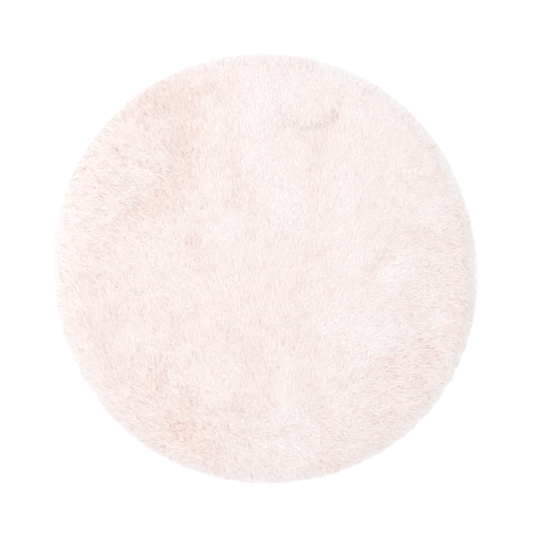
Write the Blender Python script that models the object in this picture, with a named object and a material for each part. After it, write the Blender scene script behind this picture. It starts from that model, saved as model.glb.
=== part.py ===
"""Round shag rug lying flat on the floor, pile side up.

One cut piece: a disc of long-pile cloth. The solid is the disc at the height where the
pile lies, with the mounds, hollows and combed crest of the pile on top, and the locks
that stick out past the cut edge fused to its rim. It is flat underneath, where it rests.
Metres, +Z up; the origin is the middle of the underside.
"""
import math

import bpy
import numpy as np
from mathutils import Vector, noise
from mathutils.geometry import delaunay_2d_cdt

# Driving dimensions, in metres unless the name says otherwise.
RUG_DIAMETER = 1.206        # over the tips of the rim locks
LOCK_REACH = 0.018          # how far a full rim lock sticks out on its own
SHORTEST_LOCK = 0.5         # share of that reach
LOCK_COUNT = 288            # locks round the rim
LOCK_PITCH_SPREAD = 0.22    # share of a pitch by which a lock's sides stray
LOCK_HEIGHT = 0.014         # of a rim lock at its root
LOCK_BACK = 0.6             # width of a lock's back, as a share of its foot
SWEEP_SHARE = 0.6           # of its width, how far a lock is combed sideways
SWEEP_SPREAD = 0.2          # the same, for one lock against its neighbours
SWEEP_SPAN_DEG = 9.0        # of the rim, over which the combing changes side
PILE_HEIGHT = 0.033         # of the lying pile, away from mounds and hollows
EDGE_ROLL = 0.062           # width over which the pile rolls down to the locks
TUFT_PITCH = 0.0245         # between neighbouring tufts on the top
TUFT_SPAN = 0.034           # over which one tuft gives way to the next
TUFT_LIFT = 0.0042          # of one tuft above or below its neighbours
CLUMP_SPAN = 0.080          # the same, for clumps of tufts
CLUMP_LIFT = 0.0050
SEED = 11

# Sections along a rim lock after its root, as shares of its reach, of its root's width
# and height, and of its sweep.
#     along  width  lowest  highest  sweep
LOCK_SECTIONS = (
    (0.50, 0.76, 0.60, 0.78, 0.40),
    (1.00, 0.30, 0.20, 0.32, 1.00),
)

# The cut isn't a true circle: it swells and flattens a little.
#           heading_deg  swell   half_width_deg
CUT_SWELLS = (
    (14.0, -0.0125, 23.0),
    (134.0, 0.0070, 30.0),
    (194.0, -0.0045, 14.0),
    (228.0, 0.0028, 14.0),
    (317.0, 0.0070, 26.0),
)

# Mounds (rise > 0) and hollows (rise < 0), each an oval turned from the X axis.
#      x       y     half_long half_wide turn_deg  rise
PILE_FORMS = (
    # the combed ridge down the upper half, and the mounds beside it
    (0.000, 0.480, 0.110, 0.075, 90.0, 0.0060),
    (-0.027, 0.350, 0.090, 0.045, 90.0, 0.0050),
    (0.055, 0.205, 0.095, 0.045, 80.0, 0.0060),
    (-0.108, 0.105, 0.055, 0.045, 0.0, 0.0050),
    (0.225, 0.215, 0.080, 0.060, 80.0, 0.0050),
    # the parted valley at the upper left and the fan-shaped mound outside it
    (-0.262, 0.462, 0.070, 0.045, 120.0, -0.0100),
    (-0.228, 0.345, 0.085, 0.042, 85.0, -0.0110),
    (-0.315, 0.192, 0.080, 0.040, 35.0, -0.0100),
    (-0.450, 0.085, 0.060, 0.040, 25.0, -0.0050),
    (-0.385, 0.300, 0.090, 0.075, 20.0, 0.0070),
    # swells of the middle and the right
    (0.242, 0.010, 0.060, 0.050, 30.0, 0.0040),
    (0.365, -0.005, 0.050, 0.040, 80.0, 0.0050),
    (0.209, -0.144, 0.065, 0.060, 0.0, 0.0050),
    (0.312, -0.172, 0.065, 0.055, 35.0, 0.0060),
    (-0.365, -0.200, 0.060, 0.050, 60.0, 0.0040),
    (0.433, 0.094, 0.060, 0.045, 0.0, -0.0040),
    # trodden hollows along the lower left
    (-0.309, -0.333, 0.060, 0.050, 20.0, -0.0060),
    (-0.234, -0.435, 0.085, 0.050, 30.0, -0.0100),
    (-0.141, -0.500, 0.060, 0.045, 140.0, -0.0080),
    (-0.071, -0.424, 0.050, 0.045, 0.0, -0.0060),
    (-0.136, -0.326, 0.080, 0.040, 90.0, 0.0040),
    # hollows and mounds along the lower right
    (0.060, -0.374, 0.060, 0.045, 90.0, 0.0050),
    (0.335, -0.284, 0.070, 0.050, 60.0, -0.0060),
    (0.435, -0.270, 0.080, 0.040, 100.0, -0.0070),
    (0.214, -0.444, 0.060, 0.045, 70.0, 0.0040),
    (0.160, -0.520, 0.050, 0.040, 60.0, -0.0050),
)

# The crest: pile combed down from the top ends in a curved lip over lower pile.
CREST_CENTRE = (0.118, 0.485)
CREST_RADIUS = 0.088
CREST_HEADING_DEG = 280.0   # of the middle of the lip, seen from its centre
CREST_HALF_SPAN_DEG = 45.0
CREST_RISE = 0.0040
CREST_DROP = 0.0040
CREST_LENGTH = 0.040        # over which rise and drop fade out

BLUSH = (0.90, 0.80, 0.77, 1.0)
PILE_ROUGHNESS = 0.95


def clear_scene():
    for obj in list(bpy.data.objects):
        bpy.data.objects.remove(obj, do_unlink=True)


def fade(distance, half_width):
    """1 at no distance, 0.6 at half_width, falling smoothly to 0."""
    return math.exp(-0.5 * (distance / half_width) ** 2)


def angle_between(a_deg, b_deg):
    return abs((a_deg - b_deg + 180.0) % 360.0 - 180.0)


def rug_radius(heading_deg):
    """Radius over the lock tips in one direction."""
    radius = RUG_DIAMETER / 2
    for swell_heading, swell, half_width in CUT_SWELLS:
        radius += swell * fade(angle_between(heading_deg, swell_heading), half_width)
    return radius


def root_radius(heading_deg):
    """Radius where the rim locks part from each other."""
    return rug_radius(heading_deg) - LOCK_REACH


def oval_fade(x, y, form_x, form_y, half_long, half_wide, turn_deg):
    """How far a point is inside one oval form: 1 in its middle, 0 well outside."""
    turn = math.radians(turn_deg)
    along = (x - form_x) * math.cos(turn) + (y - form_y) * math.sin(turn)
    across = (y - form_y) * math.cos(turn) - (x - form_x) * math.sin(turn)
    return fade(math.hypot(along / half_long, across / half_wide), 0.75)


def crest_lift(x, y):
    """Rise just inside the crest's lip and drop just outside it."""
    from_centre_x = x - CREST_CENTRE[0]
    from_centre_y = y - CREST_CENTRE[1]
    outward = math.hypot(from_centre_x, from_centre_y) - CREST_RADIUS
    heading = math.degrees(math.atan2(from_centre_y, from_centre_x))
    span = fade(angle_between(heading, CREST_HEADING_DEG), CREST_HALF_SPAN_DEG)
    if outward < 0.0:
        return CREST_RISE * span * fade(outward, CREST_LENGTH)
    return -CREST_DROP * span * fade(outward, CREST_LENGTH)


def pile_top(x, y):
    """Height of the pile's top above the floor."""
    heading = math.degrees(math.atan2(y, x))
    inside = root_radius(heading) - math.hypot(x, y)
    roll = 1.0 - min(max(inside / EDGE_ROLL, 0.0), 1.0)
    shoulder = math.sqrt(1.0 - roll ** 2)
    lift = crest_lift(x, y)
    for form_x, form_y, half_long, half_wide, turn_deg, rise in PILE_FORMS:
        lift += rise * oval_fade(x, y, form_x, form_y, half_long, half_wide, turn_deg)
    lift += TUFT_LIFT * noise.noise(Vector((x, y, 0.0)) / TUFT_SPAN)
    lift += CLUMP_LIFT * noise.noise(Vector((x, y, 0.0)) / CLUMP_SPAN)
    return LOCK_HEIGHT + shoulder * (PILE_HEIGHT - LOCK_HEIGHT + lift)


def tuft_points():
    """Tufts on the top, in staggered rows inside the cut edge."""
    points = []
    row_pitch = TUFT_PITCH * math.sqrt(3.0) / 2.0
    rows = int(RUG_DIAMETER / 2 / row_pitch) + 1
    columns = int(RUG_DIAMETER / 2 / TUFT_PITCH) + 1
    for row in range(-rows, rows + 1):
        stagger = 0.5 * (row % 2)
        for column in range(-columns, columns + 1):
            x = (column + stagger) * TUFT_PITCH
            y = row * row_pitch
            edge = root_radius(math.degrees(math.atan2(y, x)))
            if math.hypot(x, y) < edge - 0.6 * TUFT_PITCH:
                points.append((x, y))
    return points


def rim_headings(rng):
    """Where neighbouring locks meet, unevenly spaced round the rim, in degrees."""
    strays = rng.uniform(-LOCK_PITCH_SPREAD, LOCK_PITCH_SPREAD, LOCK_COUNT)
    return [360.0 / LOCK_COUNT * (corner + stray) for corner, stray in enumerate(strays)]


def rim_point(heading_deg):
    radius = root_radius(heading_deg)
    heading = math.radians(heading_deg)
    return radius * math.cos(heading), radius * math.sin(heading)


def slab_top(rim, tufts):
    """Triangles between the tufts and the rim, seen from above."""
    flat = [Vector(point) for point in rim + tufts]
    outline = list(range(len(rim)))
    points, _, faces, origins, _, _ = delaunay_2d_cdt(flat, [], [outline], 1, 1e-7)
    order = [source[0] for source in origins]
    if len(points) != len(flat):
        raise ValueError("two tufts or rim points fall together")
    return [tuple(order[corner] for corner in face) for face in faces]


def add_section(verts, middle, sideways, width, height):
    """Four corners of a lock: two on the floor, and two closer together on its back."""
    first = len(verts)
    back = LOCK_BACK / 2
    for offset, level in ((-0.5, 0.0), (0.5, 0.0), (back, height), (-back, height)):
        corner = middle + sideways * (offset * width)
        verts.append((corner.x, corner.y, level))
    return list(range(first, first + 4))


def add_lock(verts, faces, root, start_deg, end_deg, rng):
    """One rim lock from its root on the slab's wall to its blunt tip, lying level."""
    heading_deg = (start_deg + end_deg) / 2
    heading = math.radians(heading_deg)
    outward = Vector((math.cos(heading), math.sin(heading)))
    sideways = Vector((-outward.y, outward.x))
    root_width = math.radians(end_deg - start_deg) * root_radius(heading_deg)
    reach = LOCK_REACH * rng.uniform(SHORTEST_LOCK, 1.0)
    comb = noise.noise(Vector((heading_deg / SWEEP_SPAN_DEG, 0.5, 0.5)))
    sweep = SWEEP_SHARE * comb + rng.uniform(-SWEEP_SPREAD, SWEEP_SPREAD)
    inner = root
    for along, width, lowest, highest, sweep_share in LOCK_SECTIONS:
        middle = outward * (root_radius(heading_deg) + along * reach)
        middle += sideways * (sweep_share * sweep * root_width)
        height = LOCK_HEIGHT * rng.uniform(lowest, highest)
        outer = add_section(verts, middle, sideways, width * root_width, height)
        for corner in range(4):
            after = (corner + 1) % 4
            faces.append((inner[corner], inner[after], outer[after], outer[corner]))
        inner = outer
    faces.append(tuple(inner))


def centred(verts):
    """The same corners with the middle of the rug's box over the origin."""
    corners = np.array(verts)
    middle = (corners.min(axis=0) + corners.max(axis=0)) / 2
    return corners - (middle[0], middle[1], 0.0)


def rug_mesh():
    """The whole rug as one closed shell: top, underside, and the locks between them."""
    rng = np.random.default_rng(SEED)
    headings = rim_headings(rng)
    rim = [rim_point(heading_deg) for heading_deg in headings]
    tufts = tuft_points()
    verts = [(x, y, pile_top(x, y)) for x, y in rim + tufts]
    faces = slab_top(rim, tufts)
    floor_ring = len(verts)
    verts += [(x, y, 0.0) for x, y in rim]
    faces.append(tuple(floor_ring + corner for corner in reversed(range(LOCK_COUNT))))
    for corner, start_deg in enumerate(headings):
        after = (corner + 1) % LOCK_COUNT
        end_deg = headings[after] + (360.0 if after == 0 else 0.0)
        root = [floor_ring + corner, floor_ring + after, after, corner]
        add_lock(verts, faces, root, start_deg, end_deg, rng)
    mesh = bpy.data.meshes.new("shag_pile")
    mesh.from_pydata(centred(verts), [], faces)
    mesh.shade_smooth()
    mesh.set_sharp_from_angle(angle=math.radians(50.0))
    return mesh


def pile_material():
    """Matt polyester pile in pale blush."""
    material = bpy.data.materials.new("blush_polyester_pile")
    material.use_nodes = True
    shader = material.node_tree.nodes["Principled BSDF"]
    shader.inputs["Base Color"].default_value = BLUSH
    shader.inputs["Roughness"].default_value = PILE_ROUGHNESS
    shader.inputs["Metallic"].default_value = 0.0
    return material


def main():
    clear_scene()
    mesh = rug_mesh()
    mesh.materials.append(pile_material())
    rug = bpy.data.objects.new("shag_pile", mesh)
    bpy.context.scene.collection.objects.link(rug)


main()
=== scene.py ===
"""Round shag rug in pale blush, lying flat on a plain floor with its pile up.

It is built in the order in which a rug maker builds it: the woven ground cloth, the short
dense undergrowth of the pile, and the long locks that lie over it.
"""
import math

import bpy
import numpy as np
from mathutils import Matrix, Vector, noise


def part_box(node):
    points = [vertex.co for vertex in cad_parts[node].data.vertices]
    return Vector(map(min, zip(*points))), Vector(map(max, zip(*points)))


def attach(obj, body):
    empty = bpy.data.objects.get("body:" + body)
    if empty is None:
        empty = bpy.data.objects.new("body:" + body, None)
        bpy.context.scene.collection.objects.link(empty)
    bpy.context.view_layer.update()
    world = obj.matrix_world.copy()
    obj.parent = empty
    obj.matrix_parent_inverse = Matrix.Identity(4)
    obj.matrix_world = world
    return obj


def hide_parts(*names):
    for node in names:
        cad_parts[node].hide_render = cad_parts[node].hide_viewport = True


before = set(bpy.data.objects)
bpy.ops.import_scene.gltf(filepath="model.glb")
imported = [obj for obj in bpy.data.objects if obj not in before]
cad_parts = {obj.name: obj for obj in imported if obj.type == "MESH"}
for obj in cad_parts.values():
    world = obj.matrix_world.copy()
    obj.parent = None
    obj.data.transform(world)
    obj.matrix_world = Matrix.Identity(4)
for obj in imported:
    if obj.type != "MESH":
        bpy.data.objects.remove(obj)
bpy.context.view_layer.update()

# --- Ground cloth ------------------------------------------------------------------
# The cloth that holds the pile: plain-woven polypropylene, cut to a disc with scissors.
# It lies flat on the floor under the whole rug, and the pile is tufted through it.

rug_low, rug_high = (Vector(corner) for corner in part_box("shag_pile"))
RUG_RADIUS = (rug_high.x - rug_low.x + rug_high.y - rug_low.y) / 4
CLOTH_INSET = 0.030        # of the cut edge, inside the tips of the outermost locks
CLOTH_THICKNESS = 0.0016
CLOTH_THREAD = 0.0032      # drawn at twice the real 1.6 mm thread spacing, to show

# The cut isn't a true circle: it swells and flattens a little.
#           heading_deg  swell   half_width_deg
CUT_SWELLS = (
    (14.0, -0.0125, 23.0),
    (134.0, 0.0070, 30.0),
    (194.0, -0.0045, 14.0),
    (228.0, 0.0028, 14.0),
    (317.0, 0.0070, 26.0),
)


def fade(distance, half_width):
    """1 at no distance, 0.6 at half_width, falling smoothly to 0."""
    return np.exp(-0.5 * (distance / half_width) ** 2)


def turn_between(a_deg, b_deg):
    return (a_deg - b_deg + 180.0) % 360.0 - 180.0


def rug_radius(heading_deg):
    """Radius over the tips of the locks, for an array of headings."""
    radius = np.full(np.shape(heading_deg), RUG_RADIUS)
    for swell_heading, swell, half_width in CUT_SWELLS:
        radius += swell * fade(turn_between(heading_deg, swell_heading), half_width)
    return radius


def heading_of(x, y):
    return np.degrees(np.arctan2(y, x))


# The pieces are drawn round the cut's own centre, and then moved so that the whole rug
# lies centred on the CAD solid.
outline_deg = np.arange(0.0, 360.0, 0.5)
outline_x = rug_radius(outline_deg) * np.cos(np.radians(outline_deg))
outline_y = rug_radius(outline_deg) * np.sin(np.radians(outline_deg))
RUG_MIDDLE = (
    (rug_low.x + rug_high.x - outline_x.min() - outline_x.max()) / 2,
    (rug_low.y + rug_high.y - outline_y.min() - outline_y.max()) / 2,
    0.0,
)


def add_piece(name, mesh, material):
    """Adds one piece of the rug, which lies with the rest on the body "root"."""
    piece = bpy.data.objects.new(name, mesh)
    piece.location = RUG_MIDDLE
    bpy.context.scene.collection.objects.link(piece)
    mesh.materials.append(material)
    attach(piece, "root")
    return piece


def triangle_mesh(name, corners, triangles):
    """A mesh of triangles from two arrays, shaded smooth."""
    mesh = bpy.data.meshes.new(name)
    mesh.vertices.add(len(corners))
    mesh.vertices.foreach_set("co", np.asarray(corners, np.float32).ravel())
    mesh.loops.add(3 * len(triangles))
    mesh.loops.foreach_set("vertex_index", np.asarray(triangles, np.int32).ravel())
    mesh.polygons.add(len(triangles))
    mesh.polygons.foreach_set("loop_start", np.arange(0, 3 * len(triangles), 3, dtype=np.int32))
    mesh.update(calc_edges=True)
    mesh.shade_smooth()
    return mesh


def disc_mesh(name, edge_radius, top_height, under_height, rings, sectors):
    """A closed disc: a top that follows top_height(x, y, inward) and a flat underside."""
    headings = np.linspace(0.0, 360.0, sectors, endpoint=False)
    edge = edge_radius(headings)
    shares = 1.0 - (1.0 - np.arange(1, rings + 1) / rings) ** 1.25
    radius = np.outer(shares, edge)
    x = radius * np.cos(np.radians(headings))
    y = radius * np.sin(np.radians(headings))
    inward = edge - radius
    centre = [[0.0, 0.0, float(top_height(np.zeros(1), np.zeros(1), np.full(1, RUG_RADIUS))[0])]]
    top = np.stack([x, y, top_height(x.ravel(), y.ravel(), inward.ravel()).reshape(x.shape)], 2)
    rim = np.stack([x[-1], y[-1], np.full(sectors, under_height)], 1)
    corners = np.vstack([centre, top.reshape(-1, 3), rim, [[0.0, 0.0, under_height]]])
    here = np.arange(sectors)
    after = (here + 1) % sectors
    faces = [np.stack([np.zeros(sectors, int), 1 + here, 1 + after], 1)]
    for ring in range(rings):
        inner, outer = 1 + ring * sectors, 1 + (ring + 1) * sectors
        faces.append(np.stack([inner + here, outer + here, outer + after], 1))
        faces.append(np.stack([inner + here, outer + after, inner + after], 1))
    last = 1 + rings * sectors
    middle = np.full(sectors, last + sectors)
    faces.append(np.stack([last + after, last + here, middle], 1))
    return triangle_mesh(name, corners, np.vstack(faces))


def linear(hex_colour):
    """An sRGB hex colour as linear RGBA."""
    parts = [int(hex_colour[i:i + 2], 16) / 255 for i in (1, 3, 5)]
    return (*((p / 12.92 if p <= 0.04045 else ((p + 0.055) / 1.055) ** 2.4) for p in parts), 1.0)


def add_node(tree, kind, settings=None, **inputs):
    """Adds a node; inputs are values or the sockets to link, keyed by name or _index."""
    node = tree.nodes.new("ShaderNode" + kind)
    for key, value in (settings or {}).items():
        setattr(node, key, value)
    for key, value in inputs.items():
        name = key[1:] if key[0] == "_" else key.replace("_", " ")
        socket = node.inputs[int(name) if name.isdigit() else name]
        if isinstance(value, bpy.types.NodeSocket):
            tree.links.new(value, socket)
        else:
            socket.default_value = value
    return node


def new_material(name):
    """A new node material, its tree and its shader."""
    material = bpy.data.materials.new(name)
    material.use_nodes = True
    shader = material.node_tree.nodes["Principled BSDF"]
    return material, material.node_tree, shader


def woven_polypropylene():
    """Flat tape yarn in plain weave: dull, a little grey, with the threads standing proud."""
    material, tree, shader = new_material("woven_polypropylene_ground_cloth")
    place = add_node(tree, "TexCoord").outputs["Object"]
    turns = 2.0 * math.pi / CLOTH_THREAD / 20.0    # a wave texture has 20 radians to a unit
    warp, weft = (
        add_node(
            tree, "TexWave", {"bands_direction": axis}, Vector=place, Scale=turns, Distortion=0.4
        )
        for axis in ("X", "Y")
    )
    check = add_node(tree, "TexChecker", Vector=place, Scale=1.0 / CLOTH_THREAD)
    threads = add_node(
        tree, "Mix", {"data_type": "FLOAT"},
        Factor=check.outputs["Fac"], _2=warp.outputs["Fac"], _3=weft.outputs["Fac"],
    ).outputs[0]
    dust = add_node(tree, "TexNoise", Vector=place, Scale=9.0, Detail=4.0).outputs["Fac"]
    colour = add_node(
        tree, "Mix", {"data_type": "RGBA"},
        Factor=threads, _6=linear("#C9BFB6"), _7=linear("#E6DED6"),
    ).outputs[2]
    colour = add_node(
        tree, "Mix", {"data_type": "RGBA", "blend_type": "MULTIPLY"},
        Factor=dust, _6=colour, _7=linear("#EFE9E4"),
    ).outputs[2]
    bump = add_node(tree, "Bump", Strength=0.6, Distance=0.0006, Height=threads)
    tree.links.new(colour, shader.inputs["Base Color"])
    tree.links.new(bump.outputs["Normal"], shader.inputs["Normal"])
    shader.inputs["Roughness"].default_value = 0.72
    shader.inputs["IOR"].default_value = 1.49
    return material


def cloth_edge(headings):
    return rug_radius(headings) - CLOTH_INSET


def cloth_top(x, y, inward):
    return np.full(np.shape(x), CLOTH_THICKNESS)


ground_cloth = add_piece(
    "ground_cloth",
    disc_mesh("ground_cloth", cloth_edge, cloth_top, 0.0, rings=12, sectors=180),
    woven_polypropylene(),
)
ground_cloth.data.set_sharp_from_angle(angle=math.radians(40.0))

# --- Undergrowth of the pile ---------------------------------------------------------
# The lower part of the pile, where the polyester fibres stand packed too closely to part.
# It has the rug's mounds, hollows and combed crest, rolls down to the floor at the rim,
# and shows only as the darker pink between the long locks.

PILE_HEIGHT = 0.033        # of the lying pile, away from mounds and hollows
LOCK_HEIGHT = 0.014        # of the pile where the rim locks part
LOCK_REACH = 0.018         # how far the rim locks stick out past that
EDGE_ROLL = 0.062          # width over which the pile rolls down to them
TUFT_SPAN = 0.034          # over which one tuft gives way to the next
TUFT_LIFT = 0.0042
CLUMP_SPAN = 0.080         # the same, for clumps of tufts
CLUMP_LIFT = 0.0050
BED_DEPTH = 0.0070         # of the undergrowth's top below the pile's
BED_INSET = 0.027          # of its edge, inside the tips of the outermost locks
BED_ROLL = 0.042
BED_GAP = 0.0003           # over the ground cloth
RIM_TILT = 0.50            # slope of the pile as a whole at its edge
RIM_TILT_WIDTH = 0.100     # over which it dies out inwards

# Mounds (rise > 0) and hollows (rise < 0), each an oval turned from the X axis.
#      x       y     half_long half_wide turn_deg  rise
PILE_FORMS = (
    # the combed ridge down the upper half, and the mounds beside it
    (0.000, 0.480, 0.110, 0.075, 90.0, 0.0060),
    (-0.027, 0.350, 0.090, 0.045, 90.0, 0.0050),
    (0.055, 0.205, 0.095, 0.045, 80.0, 0.0060),
    (-0.108, 0.105, 0.055, 0.045, 0.0, 0.0050),
    (0.225, 0.215, 0.080, 0.060, 80.0, 0.0050),
    # the parted valley at the upper left and the fan-shaped mound outside it
    (-0.262, 0.462, 0.070, 0.045, 120.0, -0.0100),
    (-0.228, 0.345, 0.085, 0.042, 85.0, -0.0110),
    (-0.315, 0.192, 0.080, 0.040, 35.0, -0.0100),
    (-0.450, 0.085, 0.060, 0.040, 25.0, -0.0050),
    (-0.385, 0.300, 0.090, 0.075, 20.0, 0.0070),
    # swells of the middle and the right
    (0.242, 0.010, 0.060, 0.050, 30.0, 0.0040),
    (0.365, -0.005, 0.050, 0.040, 80.0, 0.0050),
    (0.209, -0.144, 0.065, 0.060, 0.0, 0.0050),
    (0.312, -0.172, 0.065, 0.055, 35.0, 0.0060),
    (-0.365, -0.200, 0.060, 0.050, 60.0, 0.0040),
    (0.433, 0.094, 0.060, 0.045, 0.0, -0.0040),
    # trodden hollows along the lower left
    (-0.309, -0.333, 0.060, 0.050, 20.0, -0.0060),
    (-0.234, -0.435, 0.085, 0.050, 30.0, -0.0100),
    (-0.141, -0.500, 0.060, 0.045, 140.0, -0.0080),
    (-0.071, -0.424, 0.050, 0.045, 0.0, -0.0060),
    (-0.136, -0.326, 0.080, 0.040, 90.0, 0.0040),
    # hollows and mounds along the lower right
    (0.060, -0.374, 0.060, 0.045, 90.0, 0.0050),
    (0.335, -0.284, 0.070, 0.050, 60.0, -0.0060),
    (0.435, -0.270, 0.080, 0.040, 100.0, -0.0070),
    (0.214, -0.444, 0.060, 0.045, 70.0, 0.0040),
    (0.160, -0.520, 0.050, 0.040, 60.0, -0.0050),
)

# The crest: pile combed down from the top ends in a curved lip over lower pile.
CREST_CENTRE = (0.118, 0.485)
CREST_RADIUS = 0.088
CREST_HEADING_DEG = 280.0  # of the middle of the lip, seen from its centre
CREST_HALF_SPAN_DEG = 45.0
CREST_RISE = 0.0040
CREST_DROP = 0.0040
CREST_LENGTH = 0.040       # over which rise and drop fade out


def wander(x, y, span, layer=0.0):
    """Smooth noise from -1 to 1 that changes over span metres."""
    spots = np.stack([np.ravel(x), np.ravel(y)], 1) / span
    return np.array([noise.noise(Vector((a, b, layer))) for a, b in spots]).reshape(np.shape(x))


def oval_fade(x, y, form_x, form_y, half_long, half_wide, turn_deg):
    """How far points are inside one oval form: 1 in its middle, 0 well outside."""
    turn = math.radians(turn_deg)
    along = (x - form_x) * math.cos(turn) + (y - form_y) * math.sin(turn)
    across = (y - form_y) * math.cos(turn) - (x - form_x) * math.sin(turn)
    return fade(np.hypot(along / half_long, across / half_wide), 0.75)


def crest_reach(x, y):
    """How far outside the crest's lip points are, and how much of its span they see."""
    from_x, from_y = x - CREST_CENTRE[0], y - CREST_CENTRE[1]
    span = fade(turn_between(heading_of(from_x, from_y), CREST_HEADING_DEG), CREST_HALF_SPAN_DEG)
    return np.hypot(from_x, from_y) - CREST_RADIUS, span


def pile_lift(x, y):
    """How much the pile stands above or below its usual height."""
    outward, span = crest_reach(x, y)
    lift = np.where(outward < 0.0, CREST_RISE, -CREST_DROP) * span * fade(outward, CREST_LENGTH)
    for *form, rise in PILE_FORMS:
        lift = lift + rise * oval_fade(x, y, *form)
    lift += TUFT_LIFT * wander(x, y, TUFT_SPAN)
    return lift + CLUMP_LIFT * wander(x, y, CLUMP_SPAN)


def pile_top(x, y, lift):
    """Height of the lying pile above the floor, out to the tips of the rim locks."""
    inside = rug_radius(heading_of(x, y)) - LOCK_REACH - np.hypot(x, y)
    roll = 1.0 - np.clip(inside / EDGE_ROLL, 0.0, 1.0)
    top = LOCK_HEIGHT + np.sqrt(1.0 - roll ** 2) * (PILE_HEIGHT - LOCK_HEIGHT + lift)
    droop = np.clip(-inside / LOCK_REACH, 0.0, 1.0)
    return np.where(inside < 0.0, LOCK_HEIGHT * (1.0 - 0.85 * droop), top)


def pile_normal(x, y, reach=0.006):
    """Unit normals of the lying pile as a whole: its mounds and hollows and a soft rim."""
    def form_lift(at_x, at_y):
        lift = np.zeros_like(at_x)
        for *form, rise in PILE_FORMS:
            lift += rise * oval_fade(at_x, at_y, *form)
        return lift

    slope_x = (form_lift(x + reach, y) - form_lift(x - reach, y)) / (2 * reach)
    slope_y = (form_lift(x, y + reach) - form_lift(x, y - reach)) / (2 * reach)
    inside = rug_radius(heading_of(x, y)) - np.hypot(x, y)
    tilt = RIM_TILT * np.clip(1.0 - inside / RIM_TILT_WIDTH, 0.0, 1.0)
    out = np.arctan2(y, x)
    normal = np.stack(
        [tilt * np.cos(out) - slope_x, tilt * np.sin(out) - slope_y, np.ones_like(x)], 1
    )
    return normal / np.linalg.norm(normal, axis=1, keepdims=True)


def bed_edge(headings):
    return rug_radius(headings) - BED_INSET


def bed_top(x, y, inward):
    """Height of the undergrowth; inward is the distance inside its edge."""
    floor = CLOTH_THICKNESS + BED_GAP
    roll = 1.0 - np.clip(inward / BED_ROLL, 0.0, 1.0)
    full = PILE_HEIGHT - BED_DEPTH + 0.9 * pile_lift(x, y)
    return floor + np.sqrt(1.0 - roll ** 2) * (full - floor)


def polyester_undergrowth():
    """Packed fibre roots: matt, and pinker than the tips, because light dies between them."""
    material, tree, shader = new_material("polyester_pile_roots")
    place = add_node(tree, "TexCoord").outputs["Object"]
    fibres = add_node(tree, "TexNoise", Vector=place, Scale=420.0, Detail=3.0).outputs["Fac"]
    clumps = add_node(tree, "TexNoise", Vector=place, Scale=28.0, Detail=2.0).outputs["Fac"]
    colour = add_node(
        tree, "Mix", {"data_type": "RGBA"},
        Factor=fibres, _6=linear("#F6DAD4"), _7=linear("#FCE8E4"),
    ).outputs[2]
    colour = add_node(
        tree, "Mix", {"data_type": "RGBA", "blend_type": "MULTIPLY"},
        Factor=clumps, _6=colour, _7=linear("#FEF0EC"),
    ).outputs[2]
    bump = add_node(tree, "Bump", Strength=0.8, Distance=0.002, Height=fibres)
    tree.links.new(colour, shader.inputs["Base Color"])
    tree.links.new(bump.outputs["Normal"], shader.inputs["Normal"])
    shader.inputs["Roughness"].default_value = 0.9
    shader.inputs["IOR"].default_value = 1.55
    return material


pile_bed = add_piece(
    "pile_bed",
    disc_mesh("pile_bed", bed_edge, bed_top, CLOTH_THICKNESS + BED_GAP, rings=46, sectors=260),
    polyester_undergrowth(),
)
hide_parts("shag_pile")

# --- Long locks of the pile ----------------------------------------------------------
# Polyester fibre, heat-set straight and cut 40 mm long. It gathers in locks of some ten
# strands, which lie the way they were last stroked: away from the lower left, up the
# middle, out over the rim on every side. Where the stroking parts, they stand up.

# The way the pile was stroked: where, and which way the tips point there.
#      x       y    tips_deg
STROKES = (
    (0.00, 0.00, 92.0),
    # a ring of strokes about 0.2 out from the middle
    (0.20, 0.00, 62.0),
    (0.14, 0.14, 80.0),
    (0.00, 0.20, 82.0),
    (-0.14, 0.14, 96.0),
    (-0.20, 0.00, 118.0),
    (-0.14, -0.14, 100.0),
    (0.00, -0.20, 86.0),
    (0.14, -0.14, 68.0),
    # about 0.38 out
    (0.38, 0.00, 30.0),
    (0.33, 0.19, 48.0),
    (0.19, 0.33, 78.0),
    (0.00, 0.38, 90.0),
    (-0.17, 0.33, 93.0),
    (-0.33, 0.34, 125.0),
    (-0.36, 0.22, 195.0),
    (-0.30, 0.10, 112.0),
    (-0.38, 0.00, 114.0),
    (-0.33, -0.19, 104.0),
    (-0.19, -0.33, 130.0),
    (0.00, -0.38, 110.0),
    (0.19, -0.33, 60.0),
    (0.33, -0.19, 36.0),
    # about 0.5 out
    (0.50, 0.00, 0.0),
    (0.46, 0.20, 5.0),
    (0.37, 0.35, 52.0),
    (0.20, 0.54, 85.0),
    (0.00, 0.51, 91.0),
    (-0.18, 0.48, 108.0),
    (-0.33, 0.42, 120.0),
    (-0.46, 0.26, 162.0),
    (-0.49, 0.10, 160.0),
    (-0.50, -0.05, 125.0),
    (-0.47, -0.20, 108.0),
    (-0.37, -0.35, 130.0),
    (-0.22, -0.45, 148.0),
    (-0.06, -0.50, -50.0),
    (0.08, -0.52, -35.0),
    (0.22, -0.46, -20.0),
    (0.36, -0.36, 0.0),
    (0.47, -0.20, 0.0),
    (0.12, 0.44, 86.0),
)
STROKE_WIDTH = 0.070       # over which one stroke gives way to the next
STROKE_STRAY = 0.34        # how far single locks stray from it
CREST_FOLD = 0.040         # above the crest's lip, over which more and more locks fold over it

# How the rim locks are swept past straight out, round the rim.
#   heading_deg  sweep_deg
RIM_SWEEPS = (
    (0.0, -32.0),
    (30.0, -22.0),
    (60.0, 8.0),
    (90.0, 5.0),
    (120.0, 6.0),
    (150.0, 8.0),
    (180.0, -18.0),
    (210.0, -38.0),
    (235.0, -45.0),
    (255.0, 10.0),
    (285.0, 20.0),
    (310.0, 5.0),
    (335.0, -22.0),
)

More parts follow.
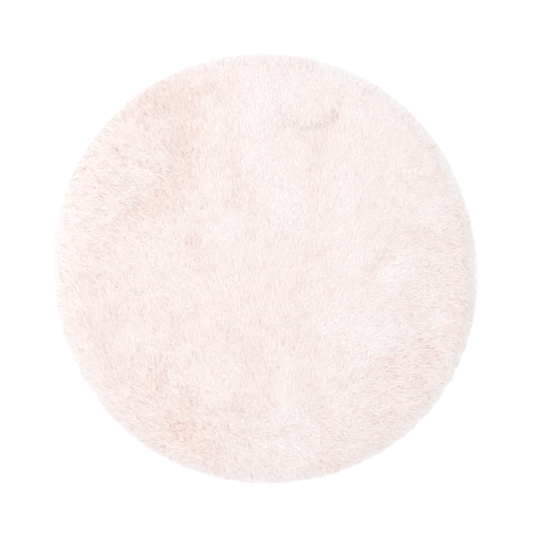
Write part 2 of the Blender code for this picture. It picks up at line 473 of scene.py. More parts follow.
# Where the locks stand open (open > 0) and where the pile is close (open < 0). Open places
# stand a little more upright and are drawn pinker, with more dim strands: painted shade of the
# pile's depth. Close places are drawn paler, with fewer dim strands: painted light of smooth
# pile, which shows only pale tips.
#      x       y    half_long half_wide turn_deg  open
OPENINGS = (
    # the long valley at the upper left
    (-0.274, 0.470, 0.085, 0.038, 5.0, 0.83),
    (-0.222, 0.352, 0.100, 0.042, 82.0, 1.00),
    (-0.312, 0.180, 0.090, 0.034, 35.0, 0.84),
    (-0.435, 0.060, 0.060, 0.036, 25.0, 0.32),
    (-0.350, 0.415, 0.085, 0.050, 10.0, 0.42),
    # gaps in the fan of locks outside it, and the fan's middle
    (-0.420, 0.340, 0.030, 0.022, 0.0, 0.30),
    (-0.480, 0.230, 0.024, 0.020, 0.0, 0.15),
    (-0.425, 0.210, 0.022, 0.030, 0.0, 0.16),
    (-0.340, 0.255, 0.060, 0.036, 10.0, -0.06),
    # the trodden patches at the lower left
    (-0.235, -0.430, 0.095, 0.050, 15.0, 0.66),
    (-0.160, -0.505, 0.080, 0.034, -35.0, 0.66),
    (-0.305, -0.320, 0.075, 0.028, 75.0, 0.55),
    (-0.378, -0.300, 0.060, 0.050, 0.0, 0.36),
    (-0.395, -0.400, 0.050, 0.034, 40.0, 0.32),
    (-0.220, -0.360, 0.055, 0.032, 0.0, 0.40),
    (-0.085, -0.370, 0.045, 0.030, 100.0, 0.34),
    (-0.060, -0.450, 0.050, 0.020, 0.0, 0.28),
    (0.000, -0.350, 0.062, 0.024, 90.0, 0.34),
    (-0.430, -0.200, 0.065, 0.024, 80.0, 0.35),
    (-0.490, -0.160, 0.040, 0.028, 0.0, 0.25),
    # the broken edge of the lower right
    (0.345, -0.285, 0.055, 0.038, 60.0, 0.45),
    (0.445, -0.225, 0.065, 0.024, -50.0, 0.50),
    (0.420, -0.310, 0.055, 0.028, 60.0, 0.40),
    (0.345, -0.405, 0.055, 0.024, 0.0, 0.30),
    (0.305, -0.480, 0.055, 0.028, 40.0, 0.28),
    (0.165, -0.545, 0.045, 0.028, 20.0, 0.70),
    (0.170, -0.440, 0.060, 0.028, 110.0, 0.44),
    (0.113, -0.300, 0.085, 0.022, 110.0, 0.34),
    # the right rim, and the creases inside it
    (0.548, -0.140, 0.140, 0.034, 95.0, 0.28),
    (0.550, 0.130, 0.085, 0.028, 100.0, 0.18),
    (0.425, 0.085, 0.040, 0.024, 0.0, 0.38),
    (0.495, 0.070, 0.038, 0.020, 0.0, 0.40),
    (0.400, -0.090, 0.048, 0.017, 80.0, 0.40),
    (0.320, 0.030, 0.052, 0.022, 60.0, 0.35),
    (0.345, 0.110, 0.032, 0.015, 80.0, 0.12),
    (0.460, 0.270, 0.032, 0.018, 90.0, 0.35),
    # under the crest, and the crease that runs down from it
    (0.045, 0.400, 0.046, 0.014, -20.0, 0.22),
    (0.125, 0.385, 0.050, 0.015, 5.0, 0.30),
    (0.187, 0.425, 0.042, 0.016, 60.0, 0.60),
    (0.150, 0.330, 0.055, 0.022, 80.0, 0.30),
    (0.128, 0.200, 0.125, 0.013, 88.0, 0.40),
    (0.285, 0.480, 0.042, 0.014, 60.0, 0.35),
    (0.105, 0.570, 0.034, 0.020, 0.0, 0.48),
    # creases of the upper middle
    (-0.088, 0.295, 0.080, 0.021, 88.0, 0.42),
    (-0.080, 0.180, 0.042, 0.022, 0.0, 0.30),
    (-0.205, 0.080, 0.095, 0.040, 95.0, 0.38),
    (-0.155, 0.500, 0.024, 0.022, 0.0, 0.50),
    (-0.105, 0.510, 0.028, 0.018, 90.0, 0.40),
    # the middle, broadly, and its dimples
    (0.010, -0.140, 0.200, 0.160, 90.0, 0.17),
    (-0.425, -0.120, 0.120, 0.090, 90.0, 0.26),
    (0.085, -0.040, 0.032, 0.018, 80.0, 0.45),
    (0.140, 0.045, 0.050, 0.030, 0.0, 0.25),
    (-0.238, -0.160, 0.070, 0.038, 90.0, 0.36),
    (0.185, -0.035, 0.032, 0.028, 0.0, 0.26),
    (-0.105, -0.190, 0.028, 0.024, 0.0, 0.35),
    (-0.040, -0.190, 0.042, 0.015, 90.0, 0.30),
    (-0.060, -0.260, 0.052, 0.018, 90.0, 0.30),
    # paler places, painted light: the left rim, which faces the light
    (-0.578, 0.050, 0.150, 0.030, 90.0, -0.76),
    (-0.505, 0.125, 0.034, 0.036, 0.0, -0.30),
    # the ridge of the upper middle
    (-0.020, 0.490, 0.080, 0.055, 80.0, -0.38),
    (0.055, 0.500, 0.045, 0.040, 0.0, -0.30),
    (-0.030, 0.340, 0.085, 0.034, 90.0, -0.40),
    (0.045, 0.185, 0.095, 0.042, 105.0, -0.58),
    (-0.115, 0.105, 0.048, 0.032, 0.0, -0.60),
    (-0.145, 0.420, 0.065, 0.024, 90.0, -0.18),
    (-0.150, 0.230, 0.032, 0.024, 0.0, -0.25),
    (-0.040, 0.060, 0.020, 0.020, 0.0, -0.35),
    # the right of the middle
    (0.220, 0.230, 0.065, 0.038, 100.0, -0.35),
    (0.160, 0.085, 0.021, 0.018, 0.0, -0.40),
    (0.235, 0.025, 0.065, 0.032, 75.0, -0.35),
    (0.365, -0.002, 0.070, 0.036, 60.0, -0.45),
    (0.210, -0.140, 0.065, 0.052, 0.0, -0.35),
    (0.332, -0.188, 0.075, 0.048, 20.0, -0.60),
    (0.470, -0.150, 0.034, 0.022, 90.0, -0.35),
    (0.460, 0.170, 0.034, 0.022, 45.0, -0.25),
    (0.230, 0.430, 0.034, 0.024, 0.0, -0.30),
    (0.205, 0.545, 0.044, 0.034, 0.0, -0.62),
    (0.240, 0.530, 0.050, 0.036, 0.0, -0.28),
    (0.512, 0.260, 0.038, 0.046, 0.0, -0.42),
    (0.350, 0.400, 0.040, 0.060, 0.0, -0.22),
    # broadly, the right, the top and the bottom
    (0.260, 0.060, 0.260, 0.200, 90.0, -0.12),
    (0.130, 0.460, 0.170, 0.110, 0.0, -0.16),
    (0.090, -0.430, 0.180, 0.090, 0.0, -0.24),
    # below the middle
    (-0.360, -0.205, 0.034, 0.034, 0.0, -0.34),
    (-0.120, -0.330, 0.065, 0.032, 60.0, -0.45),
    (0.060, -0.370, 0.065, 0.038, 90.0, -0.28),
    (0.065, -0.270, 0.024, 0.024, 0.0, -0.30),
    (0.250, -0.250, 0.045, 0.034, 0.0, -0.28),
    (0.100, -0.510, 0.045, 0.034, 0.0, -0.30),
)

# Where the locks stay apart, each drawn together to its own tip, with gaps between them; there
# more strands are drawn dim and dark, painted shade in the gaps.
#      x       y    half_width  apart
PARTED = (
    (-0.420, 0.230, 0.150, 0.92),
    (-0.350, 0.430, 0.080, 0.32),
    (-0.240, -0.410, 0.130, 0.80),
    (0.480, -0.150, 0.130, 0.70),
    (0.340, -0.380, 0.120, 0.60),
    (0.170, 0.430, 0.050, 0.25),
    (-0.540, -0.020, 0.080, 0.50),
    (0.050, -0.470, 0.100, 0.25),
)

# The same round the rim, read between the rows. Its share also sets how many rim strands are
# drawn dim and dark: painted shade of the rim, more on some sides than others.
#   heading_deg  apart
RIM_APART = (
    (-165.0, 0.15),
    (-120.0, 0.00),
    (-90.0, 0.15),
    (-60.0, 0.45),
    (-30.0, 0.85),
    (0.0, 0.50),
    (45.0, 0.05),
    (90.0, 0.25),
    (150.0, 0.90),
)

RIM_APART_WIDTH = 0.075    # over which the rim's share fades out inwards
RIM_TURN = 0.038           # over which the lay turns to the rim's own sweep
LAY_SWINGS = ((20.0, 0.055), (22.0, 0.020))  # of the lay, in degrees, and over how far

LOCK_PITCH = 0.0092        # between the roots of neighbouring locks
TOP_JITTER = 0.32          # of those places over the top, as a share of the pitch
RIM_ROWS = 6               # of locks, down the steep part of the rim
RIM_JITTER = 0.35
ROLL_FROM_DEG = 40.0       # of the undergrowth where the rim rows begin
ROLL_SPAN_DEG = 48.0       # and how much steeper it is where they end
CURVED_IN_LOCK = 2         # strands that arch over the rest
STRAIGHT_IN_LOCK = 9       # finer strands that fill in between them
CURVED_WIDTH = 0.0027      # a strand is a few dozen fibres
STRAIGHT_WIDTH = 0.0024
STRAND_WIDTHS = (0.75, 1.2)    # least and most, as shares of those
CURVED_REACH = 0.0200      # of a strand lying down, over the floor
STRAIGHT_REACH = 0.0145
RIM_REACH = 0.0290         # of the strands at the rim
STRAND_REACHES = (0.80, 1.12)  # least and most, as shares of those
BEND_AT = 0.42             # share of the way to its tip at which a strand bends
FAN_DEG = 14.0             # by which the strands of one lock point apart
FAN_LESS_DEG = 6.0         # and how much less where locks stay apart
TIP_GATHER = 0.15          # of a lock's tips towards one another
TIP_GATHER_MORE = 0.75     # and how much more where locks stay apart
TIPS_PAST = 0.0035         # the rug's outline, at the most
TIPS_RAGGED = 0.0120       # by which some of them end short of that
ROOT_SPREAD = 0.45         # of a lock's roots, as a share of the pitch
ROOT_DEPTH = 0.0020        # of the roots in the undergrowth
ARCH_LIFT = 0.0025         # of a curved strand's bend over the lying pile
LAYER_LIFT = 0.0018        # by which strands lie over and under one another
STANDING_LIFT = 0.010      # of locks that stand up rather than lie
MOST_PROUD = 0.006         # of any strand, over the CAD solid's top

PINKS = 8                  # steps from the palest strand to the pinkest
TONES_OF_PINK = 4          # steps of each from light to dark, painted shade
USUAL_PINK = 0.41          # where the pile is neither open nor close, from 0 to 1
OPEN_SHADE_PINK = 0.64           # added where it is wholly open, painted shade of its depth
PINK_PATCHES = ((0.22, 0.030), (0.14, 0.065))  # pinker or paler by this, and over how far
# Shares of strands drawn dim, dimmer and dark, painted shade, where the locks lie close and
# where they are apart.
DIM_STRANDS = ((0.30, 0.11, 0.010), (0.26, 0.21, 0.115))


def stroke_field(x, y):
    """Direction in which the tips point at each place; short where the strokes disagree."""
    pull_x, pull_y, total = np.zeros_like(x), np.zeros_like(x), np.full_like(x, 1e-9)
    for stroke_x, stroke_y, tips_deg in STROKES:
        weight = fade(np.hypot(x - stroke_x, y - stroke_y), STROKE_WIDTH)
        pull_x += weight * math.cos(math.radians(tips_deg))
        pull_y += weight * math.sin(math.radians(tips_deg))
        total += weight
    return pull_x / total, pull_y / total


def rim_heading(heading_deg):
    """Direction of the rim locks' tips, in radians, from the table of sweeps."""
    table = np.array(RIM_SWEEPS)
    sweep = np.interp(heading_deg % 360.0, table[:, 0], table[:, 1], period=360.0)
    return np.radians(heading_deg + sweep)


def openness(x, y):
    """How open the pile stands, about 0, from -1 where it is close to 1 in a gap.

    Above 0 the strands get painted shade, below 0 painted light.
    """
    total = np.zeros_like(x)
    for *form, opened in OPENINGS:
        total += opened * oval_fade(x, y, *form)
    return np.clip(total, -1.0, 1.0)


def apartness(x, y, inward):
    """How far the locks stay apart, from 0 to 1, over the top and round the rim."""
    total = np.zeros_like(x)
    for parted_x, parted_y, half_width, apart in PARTED:
        total += apart * fade(np.hypot(x - parted_x, y - parted_y), half_width)
    table = np.array(RIM_APART)
    at_rim = np.interp(heading_of(x, y), table[:, 0], table[:, 1], period=360.0)
    at_rim = at_rim * np.clip(1.2 - inward / RIM_APART_WIDTH, 0.0, 1.0)
    return np.maximum(np.clip(total, 0.0, 1.0), at_rim)


def lock_roots(rng):
    """Roots of all locks: staggered rows over the top, and rows down round the rim."""
    row_pitch = LOCK_PITCH * math.sqrt(3.0) / 2.0
    rows = np.arange(-int(RUG_RADIUS / row_pitch) - 1, int(RUG_RADIUS / row_pitch) + 2)
    columns = np.arange(-int(RUG_RADIUS / LOCK_PITCH) - 1, int(RUG_RADIUS / LOCK_PITCH) + 2)
    row, column = (a.ravel() for a in np.meshgrid(rows, columns))
    x = (column + 0.5 * (row % 2)) * LOCK_PITCH
    y = row * row_pitch
    x, y = (a + rng.uniform(-TOP_JITTER, TOP_JITTER, len(x)) * LOCK_PITCH for a in (x, y))
    on_top = np.hypot(x, y) < bed_edge(heading_of(x, y)) - 0.35 * BED_ROLL
    places = [np.stack([x[on_top], y[on_top]], 1)]
    for rim_row in range(RIM_ROWS):
        tilt = math.radians(ROLL_FROM_DEG + ROLL_SPAN_DEG * (rim_row + 0.5) / RIM_ROWS)
        inward = BED_ROLL * (1.0 - math.sin(tilt))
        count = int(2.0 * math.pi * RUG_RADIUS / LOCK_PITCH)
        jitter = rng.uniform(-RIM_JITTER, RIM_JITTER, count)
        headings = (np.arange(count) + jitter + 0.5 * rim_row) * 360.0 / count
        radius = bed_edge(headings) - inward
        turn = np.radians(headings)
        places.append(np.stack([radius * np.cos(turn), radius * np.sin(turn)], 1))
    return np.vstack(places)


def lock_lay(rng, x, y, rim, opened, apart):
    """Direction in which each lock's tips point, in radians, and how flat the lock lies."""
    locks = len(x)
    lay_x, lay_y = stroke_field(x, y)
    # Above the crest's lip more and more of the locks are folded out over it.
    outward, span = crest_reach(x, y)
    folded = span * np.where(outward < 0.0, fade(outward, 0.6 * CREST_FOLD), 0.0)
    folded = rng.random(locks) < 1.3 * folded
    from_centre = np.arctan2(y - CREST_CENTRE[1], x - CREST_CENTRE[0])
    lay_x = np.where(folded, np.cos(from_centre), lay_x)
    lay_y = np.where(folded, np.sin(from_centre), lay_y)
    # The lay turns to the rim's own sweep over the last few centimetres.
    out = rim_heading(heading_of(x, y))
    stray = STROKE_STRAY * (1.0 - 0.45 * apart)
    lay_x = (1.0 - rim) * lay_x + rim * np.cos(out) + stray * rng.standard_normal(locks)
    lay_y = (1.0 - rim) * lay_y + rim * np.sin(out) + stray * rng.standard_normal(locks)
    sure = np.clip(np.hypot(lay_x, lay_y), 0.0, 1.0)
    lay = np.arctan2(lay_y, lay_x)
    (broad_deg, broad_span), (fine_deg, fine_span) = LAY_SWINGS
    broad = np.radians(broad_deg) * wander(x, y, broad_span, 1.3)
    lay += broad + np.radians(fine_deg) * wander(x, y, fine_span, 2.1)
    lying = 0.78 + 0.22 * sure - 0.12 * np.clip(opened, 0.0, 1.0)
    return lay, lying * (1.0 + 0.10 * rng.standard_normal(locks))


def strand_shades(rng, x, y, of_lock, rim, opened, apart):
    """The strip of the UV square for each strand, and its tone, from 0 for the lightest.

    Open places are drawn pinker, and locks that stay apart have more strands drawn dark between
    them, both painted shade; the rim is drawn less pink, painted light; and each lock and strand
    differs a little.
    """
    count = len(of_lock)
    (fine_pink, fine_span), (broad_pink, broad_span) = PINK_PATCHES
    shade = USUAL_PINK + OPEN_SHADE_PINK * opened + fine_pink * wander(x, y, fine_span, 3.0)
    shade = shade + broad_pink * wander(x, y, broad_span, 5.0)
    # Round the rim the strands are drawn less pink: painted light, the greyer look of the edge as
    # it rolls away from the light.
    shade = (shade - 0.22 * rim ** 2)[of_lock] + 0.06 * rng.standard_normal(count)
    close_shares, apart_shares = np.array(DIM_STRANDS)
    shares = close_shares + (apart_shares - close_shares) * apart[of_lock, None]
    # Where locks are apart, the strands of one are more often drawn dim together: painted shade
    # over a whole lock. Open places get more dim strands, painted shade of the pile's depth, and
    # dim strands gather in small patches that wander at random.
    together = rng.random(count) < 0.5 * apart[of_lock]
    drawn = np.where(together, rng.random(len(x))[of_lock], rng.random(count))
    drawn -= (0.10 * opened + (0.12 - 0.08 * apart) * wander(x, y, 0.014, 7.0))[of_lock]
    tone = (drawn[:, None] < np.cumsum(shares[:, ::-1], axis=1)).sum(axis=1)
    return np.floor(np.clip(shade, 0.0, 0.999) * PINKS) * TONES_OF_PINK + tone, tone


def lock_strands(rng):
    """Every strand as a root, a bend and a tip, with its width, its strip and its kind."""
    x, y = lock_roots(rng).T
    inward = bed_edge(heading_of(x, y)) - np.hypot(x, y)
    opened = openness(x, y)
    apart = apartness(x, y, inward)
    rim = np.clip(1.0 - (inward - 0.004) / RIM_TURN, 0.0, 1.0) ** 1.3
    lay, lying = lock_lay(rng, x, y, rim, opened, apart)

    # One row per strand from here on.
    locks, in_lock = len(x), CURVED_IN_LOCK + STRAIGHT_IN_LOCK
    of_lock = np.repeat(np.arange(locks), in_lock)
    count = len(of_lock)
    curved = np.tile(np.arange(in_lock) < CURVED_IN_LOCK, locks)
    reach = np.where(curved, CURVED_REACH, STRAIGHT_REACH)
    reach = reach * (lying * (1.0 + 0.15 * apart))[of_lock]
    reach += (RIM_REACH - reach) * rim[of_lock]
    spread = ROOT_SPREAD * LOCK_PITCH * rng.standard_normal((count, 2))
    fan = np.radians(FAN_DEG - FAN_LESS_DEG * apart)[of_lock]
    turn = lay[of_lock] + fan * rng.standard_normal(count)
    ahead = np.stack([np.cos(turn), np.sin(turn)], 1)
    # A strand is rooted behind its lock's place, so that partings stay covered.
    behind = (0.4 * (1.0 - rim))[of_lock] * reach
    root = np.stack([x, y], 1)[of_lock] + spread - behind[:, None] * ahead
    gather = (TIP_GATHER + TIP_GATHER_MORE * apart)[of_lock, None]
    reached = reach[:, None] * rng.uniform(*STRAND_REACHES, count)[:, None]
    tip = root + reached * ahead - gather * spread
    curl = 0.10 * rng.standard_normal(locks)[of_lock] + 0.07 * rng.standard_normal(count)
    side = np.stack([-ahead[:, 1], ahead[:, 0]], 1)
    bend = root + BEND_AT * (tip - root) + side * (curl * reach)[:, None]

    # Heights: rooted in the undergrowth, arched over the pile, tips down on it.
    tip_radius = np.hypot(tip[:, 0], tip[:, 1])
    lift = pile_lift(x, y)[of_lock]
    tip_lift = np.maximum(lift, pile_lift(tip[:, 0], tip[:, 1]))
    bend_top = pile_top(bend[:, 0], bend[:, 1], (lift + tip_lift) / 2)
    tip_top = pile_top(tip[:, 0], tip[:, 1], tip_lift)
    standing = (1.0 - lying[of_lock]) * STANDING_LIFT
    layer = rng.uniform(-1.0, 1.0, count)
    root_z = bed_top(x, y, inward)[of_lock] - ROOT_DEPTH
    bend_z = bend_top + ARCH_LIFT + LAYER_LIFT * layer + standing
    tip_z = tip_top - 0.0010 + LAYER_LIFT * layer + 1.6 * standing
    tip_z = np.where(curved, tip_z, tip_top - 0.0004 + 0.0016 * layer + standing)
    steep = rim[of_lock]
    bend_z = np.where(steep > 0.0, np.minimum(bend_z, root_z + 0.016 - 0.006 * steep), bend_z)
    floor = 0.0012 + 0.0022 * rng.random(count)
    path = np.stack(
        [
            np.column_stack([root, np.maximum(root_z, 0.0022)]),
            np.column_stack([bend, np.maximum(bend_z, floor + 0.001)]),
            np.column_stack([tip, np.maximum(tip_z, floor)]),
        ],
        1,
    )
    path[:, :, 2] = np.minimum(path[:, :, 2], rug_high.z + MOST_PROUD + 0.003 * layer[:, None])
    # No tip strays past the rug's outline.
    ragged = TIPS_RAGGED * rng.random(count) ** 1.5
    most = rug_radius(heading_of(tip[:, 0], tip[:, 1])) + TIPS_PAST - ragged
    over = np.minimum(1.0, most / np.maximum(tip_radius, 1e-6))
    path[:, 2, :2] *= over[:, None]
    path[~curved, 1] = (path[~curved, 0] + path[~curved, 2]) / 2

    strip, tone = strand_shades(rng, x, y, of_lock, rim, opened, apart)
    width = np.where(curved, CURVED_WIDTH, STRAIGHT_WIDTH) * rng.uniform(*STRAND_WIDTHS, count)
    width *= (1.0 - 0.15 * rim[of_lock]) * np.where(tone >= 2, 0.80, 1.0)
    return path, width, strip, curved


SOFT_SHADING = 0.88        # share of the pile's own surface in how a strand is shaded
STRAND_FLATNESS = 0.45     # of a strand's height to its width
STRAND_EDGES_DEG = (90.0, 330.0, 210.0)  # of its three-sided section
CURVED_RINGS = (           # along the strand, and its width there as a share
    (0.00, 0.90),
    (0.46, 1.00),
)
STRAIGHT_RINGS = ((0.00, 1.00),)


def strand_parts(rings, path, width, strip):
    """Corners, triangles and UVs of closed three-sided strands that taper to a point.

    Each strand is drawn on the strip of the UV square that belongs to its shade: u runs
    from root to tip, and v round the strand.
    """
    count = len(path)
    root, bend, tip = path[:, 0], path[:, 1], path[:, 2]

    def along(t):
        return (1 - t) ** 2 * root + 2 * t * (1 - t) * bend + t ** 2 * tip

    parts = []
    for t, share in rings:
        forward = along(min(t + 0.05, 1.0)) - along(max(t - 0.05, 0.0))
        forward /= np.linalg.norm(forward, axis=1, keepdims=True)
        side = np.cross(forward, (0.0, 0.0, 1.0))
        side /= np.maximum(np.linalg.norm(side, axis=1, keepdims=True), 1e-6)
        back = np.cross(side, forward)
        half = (0.5 * share * width)[:, None]
        for edge_deg in STRAND_EDGES_DEG:
            a = math.radians(edge_deg)
            flattened = STRAND_FLATNESS * math.sin(a) * back
            parts.append(along(t) + half * (math.cos(a) * side + flattened))
    parts.append(tip)
    corners = np.stack(parts, 1).reshape(-1, 3)

    faces, spots = [(0, 2, 1)], [((0.00, 0.1), (0.00, 0.9), (0.02, 0.5))]
    last = 3 * len(rings)
    for number, (start, _) in enumerate(rings):
        for edge in range(3):
            near, far = 3 * number + edge, 3 * number + (edge + 1) % 3
            low, high = 0.1 + 0.8 * edge / 3, 0.1 + 0.8 * (edge + 1) / 3
            if number + 1 < len(rings):
                end = rings[number + 1][0]
                faces += [(near, far, far + 3), (near, far + 3, near + 3)]
                spots.append(((start, low), (start, high), (end, high)))
                spots.append(((start, low), (end, high), (end, low)))
            else:
                faces.append((near, far, last))
                spots.append(((start, low), (start, high), (1.0, (low + high) / 2)))
    triangles = np.array(faces)[None] + (last + 1) * np.arange(count)[:, None, None]
    uv = np.broadcast_to(np.array(spots), (count, len(faces), 3, 2)).copy()
    uv[..., 0] = 0.01 + 0.98 * uv[..., 0]
    uv[..., 1] = (uv[..., 1] + strip[:, None, None]) / (PINKS * TONES_OF_PINK)
    return corners, triangles.reshape(-1, 3), uv.reshape(-1, 2)


def strand_mesh(name, path, width, strip, curved):
    """One mesh of both kinds of strand."""
    bent = strand_parts(CURVED_RINGS, path[curved], width[curved], strip[curved])
    fine = strand_parts(STRAIGHT_RINGS, path[~curved], width[~curved], strip[~curved])
    corners = np.vstack([bent[0], fine[0]])
    triangles = np.vstack([bent[1], fine[1] + len(bent[0])])
    mesh = triangle_mesh(name, corners, triangles)
    uv = np.vstack([bent[2], fine[2]])
    mesh.uv_layers.new(name="OFBake").uv.foreach_set("vector", uv.astype(np.float32).ravel())
    # Light soaks through fibres, so a strand shades mostly as the lying pile round it does;
    # only its underside shades by itself.
    own = np.empty(corners.size, np.float32)
    mesh.vertex_normals.foreach_get("vector", own)
    pile = pile_normal(corners[:, 0], corners[:, 1])
    soft = (1.0 - SOFT_SHADING) * own.reshape(-1, 3) + SOFT_SHADING * pile
    soft /= np.linalg.norm(soft, axis=1, keepdims=True)
    faces = corners[triangles]
    flat = np.cross(faces[:, 1] - faces[:, 0], faces[:, 2] - faces[:, 0])
    flat /= np.maximum(np.linalg.norm(flat, axis=1, keepdims=True), 1e-12)
    under = (flat * pile[triangles[:, 0]]).sum(axis=1) < -0.2
    normals = soft[triangles]
    normals[under] = flat[under][:, None]
    mesh.normals_split_custom_set(normals.reshape(-1, 3))
    return mesh


def polyester_locks():
    """Heat-set polyester fibre in pale blush, with a soft sheen.

    It is drawn almost white at the tips and darker and pinker lower down: painted shade of the
    pile's depth.
    """
    material, tree, shader = new_material("heat_set_polyester_pile")
    strips_uv = add_node(tree, "UVMap", {"uv_map": "OFBake"}).outputs["UV"]
    spot = add_node(tree, "SeparateXYZ", Vector=strips_uv)
    # Which strip of the UV square a strand is drawn on tells its pink and its tone.
    multiply, divide, floor, fract = (
        {"operation": kind} for kind in ("MULTIPLY", "DIVIDE", "FLOOR", "FRACT")
    )
    strip_count = float(PINKS * TONES_OF_PINK)
    strips = add_node(tree, "Math", multiply, _0=spot.outputs["Y"], _1=strip_count).outputs[0]
    strip = add_node(tree, "Math", floor, _0=strips).outputs[0]
    round_strand = add_node(tree, "Math", fract, _0=strips).outputs[0]
    pinks = add_node(tree, "Math", divide, _0=strip, _1=float(TONES_OF_PINK)).outputs[0]
    pink = add_node(tree, "Math", floor, _0=pinks).outputs[0]
    pinkness = add_node(tree, "Math", divide, _0=pink, _1=PINKS - 1.0).outputs[0]
    tone = add_node(tree, "Math", fract, _0=pinks).outputs[0]
    # Both ramps run from root to tip and are darker and pinker at the root: painted shade of the
    # pile's depth. The deep one, taken more where the pile stands open, is painted shade too.
    pale = add_node(tree, "ValToRGB", Fac=spot.outputs["X"])
    deep = add_node(tree, "ValToRGB", Fac=spot.outputs["X"])
    for ramp, stops in (
        (pale, ((0.0, "#F5E6E2"), (0.35, "#F9EFEC"), (1.0, "#FBF4F0"))),
        (deep, ((0.0, "#F1CAC1"), (0.45, "#F5D5CE"), (1.0, "#F7DFD9"))),
    ):
        ramp.color_ramp.elements[0].position = stops[0][0]
        ramp.color_ramp.elements[0].color = linear(stops[0][1])
        ramp.color_ramp.elements[1].position = stops[-1][0]
        ramp.color_ramp.elements[1].color = linear(stops[-1][1])
        middle = ramp.color_ramp.elements.new(stops[1][0])
        middle.color = linear(stops[1][1])
    colour = add_node(
        tree, "Mix", {"data_type": "RGBA"},
        Factor=pinkness, _6=pale.outputs["Color"], _7=deep.outputs["Color"],
    ).outputs[2]
    # The tones are painted shade: dim and dimmer strands lie in the shade of their neighbours,
    # and the darkest is a strand down in the dark between two locks.
    darks = add_node(tree, "ValToRGB", Fac=tone)
    darks.color_ramp.interpolation = "CONSTANT"
    darks.color_ramp.elements[0].color = linear("#FFFFFF")
    darks.color_ramp.elements[1].position = 0.9 - 1.0 / TONES_OF_PINK
    darks.color_ramp.elements[1].color = linear("#D9BCB9")
    for position, dimmed in ((0.20, "#F7F5F5"), (0.45, "#EEE4E3")):
        darks.color_ramp.elements.new(position).color = linear(dimmed)
    colour = add_node(
        tree, "Mix", {"data_type": "RGBA", "blend_type": "MULTIPLY"},
        Factor=1.0, _6=colour, _7=darks.outputs["Color"],
    ).outputs[2]
    # Single fibres are far too fine to show, so about six are drawn round a strand.
    lines = add_node(tree, "CombineXYZ", X=spot.outputs["X"], Y=round_strand, Z=strip)
    stretched = add_node(tree, "VectorMath", multiply, _0=lines.outputs[0], _1=(3.0, 6.0, 1.7))
    fibres = add_node(
        tree, "TexNoise", Vector=stretched.outputs[0], Scale=1.0, Detail=2.0
    ).outputs["Fac"]
    colour = add_node(
        tree, "Mix", {"data_type": "RGBA", "blend_type": "MULTIPLY"},
        Factor=fibres, _6=colour, _7=linear("#F7F5F5"),
    ).outputs[2]
    bump = add_node(tree, "Bump", Strength=0.25, Distance=0.0003, Height=fibres)
    tree.links.new(colour, shader.inputs["Base Color"])
    tree.links.new(bump.outputs["Normal"], shader.inputs["Normal"])
    shader.inputs["Roughness"].default_value = 0.62
    shader.inputs["IOR"].default_value = 1.57
    shader.inputs["Sheen Weight"].default_value = 0.08
    shader.inputs["Sheen Roughness"].default_value = 0.45
    shader.inputs["Sheen Tint"].default_value = linear("#FFF6F3")
    return material


LOCK_SIDES = ("right", "top_right", "top_left", "left", "bottom_left", "bottom_right")
strand_paths, strand_widths, strand_strips, strand_curved = lock_strands(np.random.default_rng(4))
lock_material = polyester_locks()
side_of_strand = np.floor(
    (heading_of(strand_paths[:, 0, 0], strand_paths[:, 0, 1]) % 360.0) * len(LOCK_SIDES) / 360.0
)
for number, side_name in enumerate(LOCK_SIDES):
    own = side_of_strand == number
    name = "shag_locks_" + side_name
    mesh = strand_mesh(
        name, strand_paths[own], strand_widths[own], strand_strips[own], strand_curved[own]
    )
    add_piece(name, mesh, lock_material)

# The cloth's edge radius, at every degree round.
edge_now = cloth_edge(np.arange(0.0, 360.0, 1.0))

# --- Floor and light -----------------------------------------------------------------
# A plain white studio floor. One broad soft light stands at the upper left, a weaker one
# hangs overhead, and an even surround, white and a trace cool, fills the far side.

FLOOR_SIZE = 14.0
FLOOR_DROP = 0.0005        # below the rug, so that the two don't flicker


def matt_white_floor():
    """Emulsion paint, rolled: white and quite matt, with a trace of unevenness."""
    material, tree, shader = new_material("rolled_white_emulsion")
    place = add_node(tree, "TexCoord").outputs["Object"]
    rolled = add_node(tree, "TexNoise", Vector=place, Scale=3.0, Detail=3.0).outputs["Fac"]
    colour = add_node(
        tree, "Mix", {"data_type": "RGBA"},
        Factor=rolled, _6=linear("#F4F4F4"), _7=linear("#F7F7F7"),
    ).outputs[2]
    tree.links.new(colour, shader.inputs["Base Color"])
    shader.inputs["Roughness"].default_value = 0.9
    shader.inputs["Specular IOR Level"].default_value = 0.2
    return material


half = FLOOR_SIZE / 2
floor_mesh = bpy.data.meshes.new("studio_floor")
floor_mesh.from_pydata(
    [(x, y, -FLOOR_DROP) for x, y in ((-half, -half), (half, -half), (half, half), (-half, half))],
    [],
    [(0, 1, 2, 3)],
)
floor_mesh.materials.append(matt_white_floor())
studio_floor = bpy.data.objects.new("studio_floor", floor_mesh)
bpy.context.scene.collection.objects.link(studio_floor)

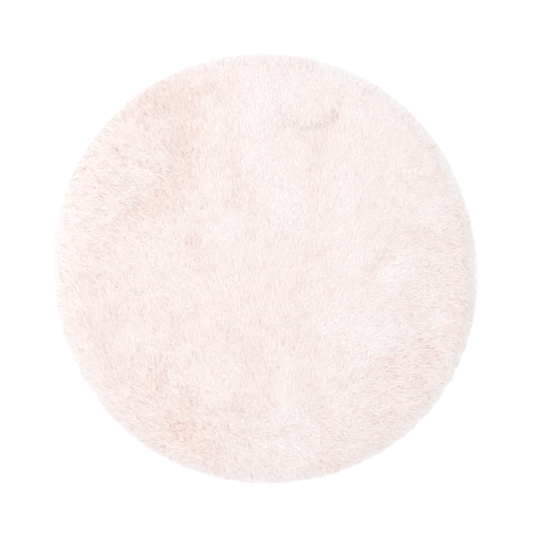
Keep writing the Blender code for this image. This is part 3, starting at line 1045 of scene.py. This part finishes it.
world = bpy.data.worlds.new("white_surround")
world.use_nodes = True
world.node_tree.nodes["Background"].inputs["Color"].default_value = linear("#F9FEFF")
world.node_tree.nodes["Background"].inputs["Strength"].default_value = 1.264
bpy.context.scene.world = world


def add_soft_light(name, place, size, watts, aim=(0.0, 0.0, 0.0)):
    light = bpy.data.lights.new(name, "AREA")
    light.shape = "DISK"
    light.size = size
    light.energy = watts
    lamp = bpy.data.objects.new(name, light)
    lamp.location = place
    lamp.rotation_euler = (Vector(aim) - Vector(place)).to_track_quat("-Z", "Y").to_euler()
    bpy.context.scene.collection.objects.link(lamp)


add_soft_light("key_light", (-7.6, 2.8, 4.2), size=4.0, watts=205.0)
add_soft_light("top_light", (-0.2, 0.2, 4.2), size=2.0, watts=42.0)

# --- Camera --------------------------------------------------------------------------
# Straight overhead, from far enough away that the rug's sides don't show.

CAMERA_HEIGHT = 3.6
VIEW_WIDTH = 1.503         # of floor across the picture
RUG_OFFSET = (0.014, -0.004)  # of the picture's middle from the rug's

camera_data = bpy.data.cameras.new("overhead_camera")
camera_data.sensor_width = 36.0
camera_data.lens = 36.0 * CAMERA_HEIGHT / VIEW_WIDTH
camera_data.clip_end = 50.0
camera = bpy.data.objects.new("overhead_camera", camera_data)
camera.location = (RUG_OFFSET[0], RUG_OFFSET[1], CAMERA_HEIGHT)
bpy.context.scene.collection.objects.link(camera)
bpy.context.scene.camera = camera

# The exposure is high and its shoulder soft, so the floor is pure white and the palest
# pile just isn't.
TONES = (
    (0.00, 0.000),
    (0.11, 0.229),
    (0.22, 0.396),
    (0.33, 0.518),
    (0.44, 0.617),
    (0.55, 0.699),
    (0.66, 0.774),
    (0.77, 0.838),
    (0.88, 0.896),
    (0.97, 0.940),
    (1.04, 0.971),
    (1.10, 1.000),
)
view = bpy.context.scene.view_settings
view.view_transform = "Standard"
view.use_curve_mapping = True
view.curve_mapping.white_level = (TONES[-1][0],) * 3
curve = view.curve_mapping.curves[3].points
for number, (scene_level, print_level) in enumerate(TONES):
    spot = (scene_level / TONES[-1][0], print_level)
    if number < 1 or number == len(TONES) - 1:
        curve[0 if number < 1 else len(curve) - 1].location = spot
    else:
        curve.new(*spot)
view.curve_mapping.update()
